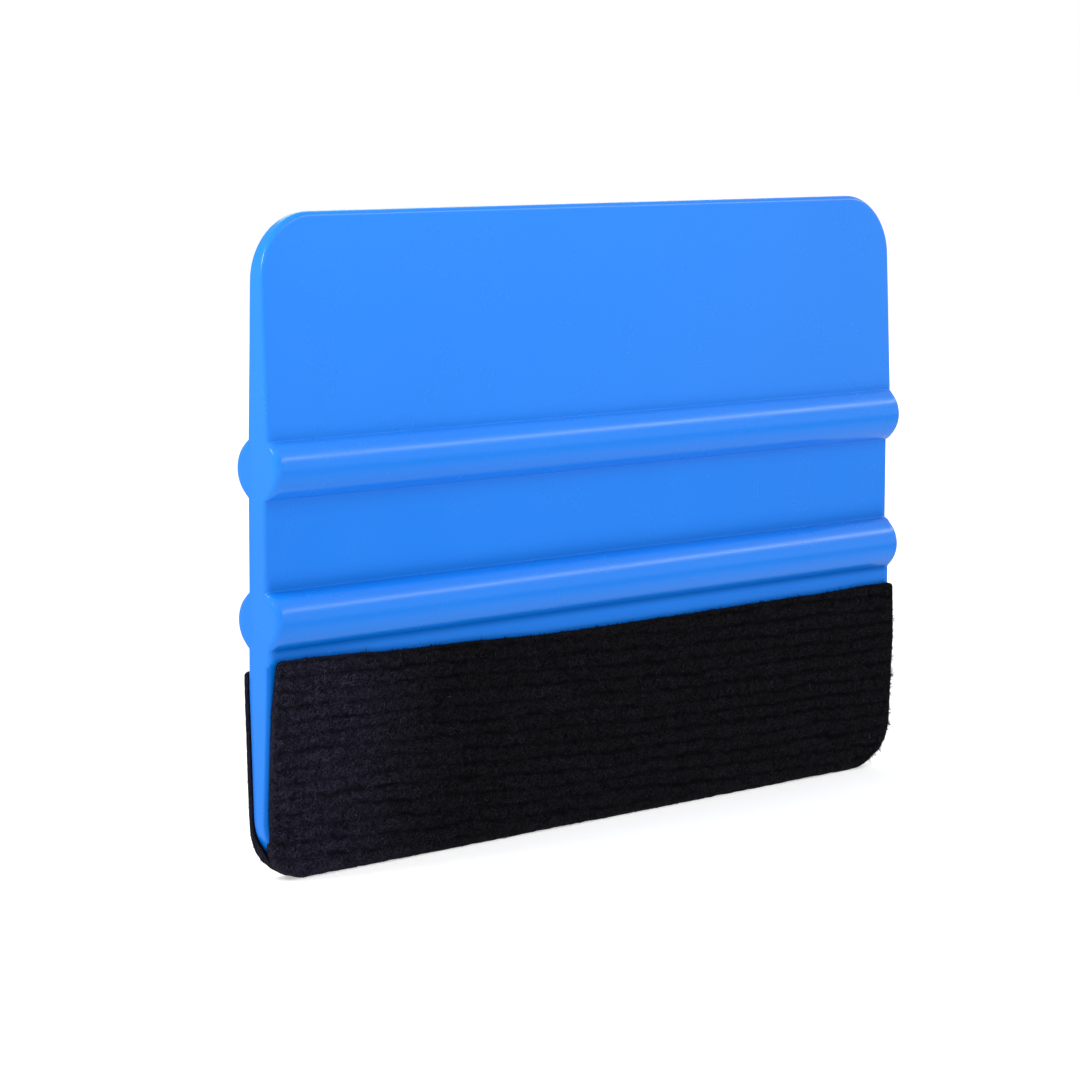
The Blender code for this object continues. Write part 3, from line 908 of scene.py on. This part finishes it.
loose = [
    surface_fibres("felt_nap_front", grids[-1], -1, 33000),
    surface_fibres("felt_nap_back", grids[1], 1, 20000),
    edge_fibres("felt_fray", grids),
]
for piece in loose:
    piece.data.materials.append(nap_black)
specks = lint("felt_lint", grids)
specks.data.materials.append(lint_pale)
loose.append(specks)
for piece in loose:
    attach(piece, "root")

glue = build_adhesive()
glue.data.materials.append(adhesive)
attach(glue, "root")
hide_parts("adhesive_film")

# the CAD nodes stay hidden under the pieces that replace them, and carry the same finishes
for node, mat in (("blade_body", plastic), ("felt_strip", felt_black), ("adhesive_film", adhesive)):
    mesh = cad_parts[node].data
    mesh.materials.clear()
    mesh.materials.append(mat)

# ---------------------------------------------------------------- stage, light, camera
floor_mesh = bpy.data.meshes.new("floor")
floor_mesh.from_pydata([(-40, -40, 0), (40, -40, 0), (40, 40, 0), (-40, 40, 0)], [], [(0, 1, 2, 3)])
floor = bpy.data.objects.new("floor", floor_mesh)
bpy.context.scene.collection.objects.link(floor)
floor.data.materials.append(floor_material())
floor.visible_diffuse = False
floor.visible_glossy = False

world = bpy.data.worlds.new("studio")
bpy.context.scene.world = world
world.use_nodes = True
wt = world.node_tree
wt.nodes.clear()
w_out = wt.nodes.new("ShaderNodeOutputWorld")
w_bg = wt.nodes.new("ShaderNodeBackground")
# a bright surround at the height of the horizon, dimmer overhead, over a pale table that is darker on its far right
w_coords = wt.nodes.new("ShaderNodeTexCoord")
w_split = wt.nodes.new("ShaderNodeSeparateXYZ")
wt.links.new(w_coords.outputs["Generated"], w_split.inputs[0])


def world_range(source, a, b, smooth=False):
    node = wt.nodes.new("ShaderNodeMapRange")
    node.interpolation_type = "SMOOTHSTEP" if smooth else "LINEAR"
    for i, v in ((1, a), (2, b), (3, 0.0), (4, 1.0)):
        node.inputs[i].default_value = v
    wt.links.new(source, node.inputs[0])
    return node.outputs[0]


def world_ramp(source, stops):
    node = wt.nodes.new("ShaderNodeValToRGB")
    elements = node.color_ramp.elements
    while len(elements) < len(stops):
        elements.new(0.5)
    for element, (height, level) in zip(elements, stops):
        element.position = (height + 1) / 2
    for element, (height, level) in zip(elements, stops):
        element.color = (level, level, level, 1)
    wt.links.new(source, node.inputs[0])
    return node.outputs[0]


w_height = world_range(w_split.outputs["Z"], -1.0, 1.0)
w_right = world_ramp(w_height, [(-1.0, 1.30), (-0.80, 1.20), (-0.72, 0.60), (-0.62, 0.84), (-0.40, 0.80), (-0.22, 0.42), (-0.14, 0.30),
                                (-0.085, 0.55), (-0.03, 1.0), (0.10, 1.0), (0.35, 0.66), (1.0, 0.66)])
w_left = world_ramp(w_height, [(-1.0, 1.30), (-0.80, 1.20), (-0.60, 0.95), (-0.03, 1.0), (0.10, 1.0), (0.35, 0.66), (1.0, 0.66)])
w_mix = wt.nodes.new("ShaderNodeMix")
w_mix.data_type = "RGBA"
w_in = [socket for socket in w_mix.inputs if socket.enabled]
wt.links.new(world_range(w_split.outputs["X"], 0.15, 0.60, True), w_in[0])
wt.links.new(w_left, w_in[1])
wt.links.new(w_right, w_in[2])
wt.links.new(next(socket for socket in w_mix.outputs if socket.enabled), w_bg.inputs["Color"])
w_bg.inputs["Strength"].default_value = 1.0
wt.links.new(w_bg.outputs[0], w_out.inputs["Surface"])


def area_light(name, place, target, size, power, colour=(1, 1, 1)):
    data = bpy.data.lights.new(name, "AREA")
    data.shape = "RECTANGLE"
    data.size, data.size_y = size
    data.energy = power
    data.color = colour
    obj = bpy.data.objects.new(name, data)
    bpy.context.scene.collection.objects.link(obj)
    place, target = Vector(place), Vector(target)
    obj.location = place
    obj.rotation_euler = (target - place).to_track_quat("-Z", "Y").to_euler()
    return obj


area_light("key_left", (-0.50, -0.30, 0.42), (0, 0, 0.05), (0.35, 0.35), 0.15)
area_light("fill_back", (0.45, 0.60, 0.45), (0, 0, 0.04), (0.5, 0.5), 1.6)
area_light("strip_right", (0.70, -0.53, 0.50), (0, 0, 0.036), (1.1, 0.05), 1.7)
near_top = area_light("near_top", (-0.02, -0.055, 0.115), (0, 0, 0.05), (0.16, 0.03), 0.031)
near_left = area_light("near_left", (-0.15, 0.03, 0.12), (-0.05, 0, 0.04), (0.05, 0.05), 0.10)
near_top.visible_glossy = False

camera_data = bpy.data.cameras.new("camera")
camera_data.sensor_width = 36.0
camera_data.sensor_fit = "HORIZONTAL"
camera_data.lens = 121.579
camera_data.clip_start = 0.01
camera_data.clip_end = 50.0
camera = bpy.data.objects.new("camera", camera_data)
bpy.context.scene.collection.objects.link(camera)
right = Vector((0.70756996, -0.70664062, 0.0019474))
up = Vector((0.08420311, 0.08704942, 0.99263903))
behind = Vector((-0.70160857, -0.70219758, 0.12109489))
pose = Matrix((right, up, behind)).transposed().to_4x4()
pose.translation = Vector((-0.293857, -0.285396, 0.081932))
camera.matrix_world = pose
bpy.context.scene.camera = camera

view = bpy.context.scene.view_settings
view.view_transform = "Standard"
view.look = "None"
view.exposure = 0.0
view.gamma = 1.0
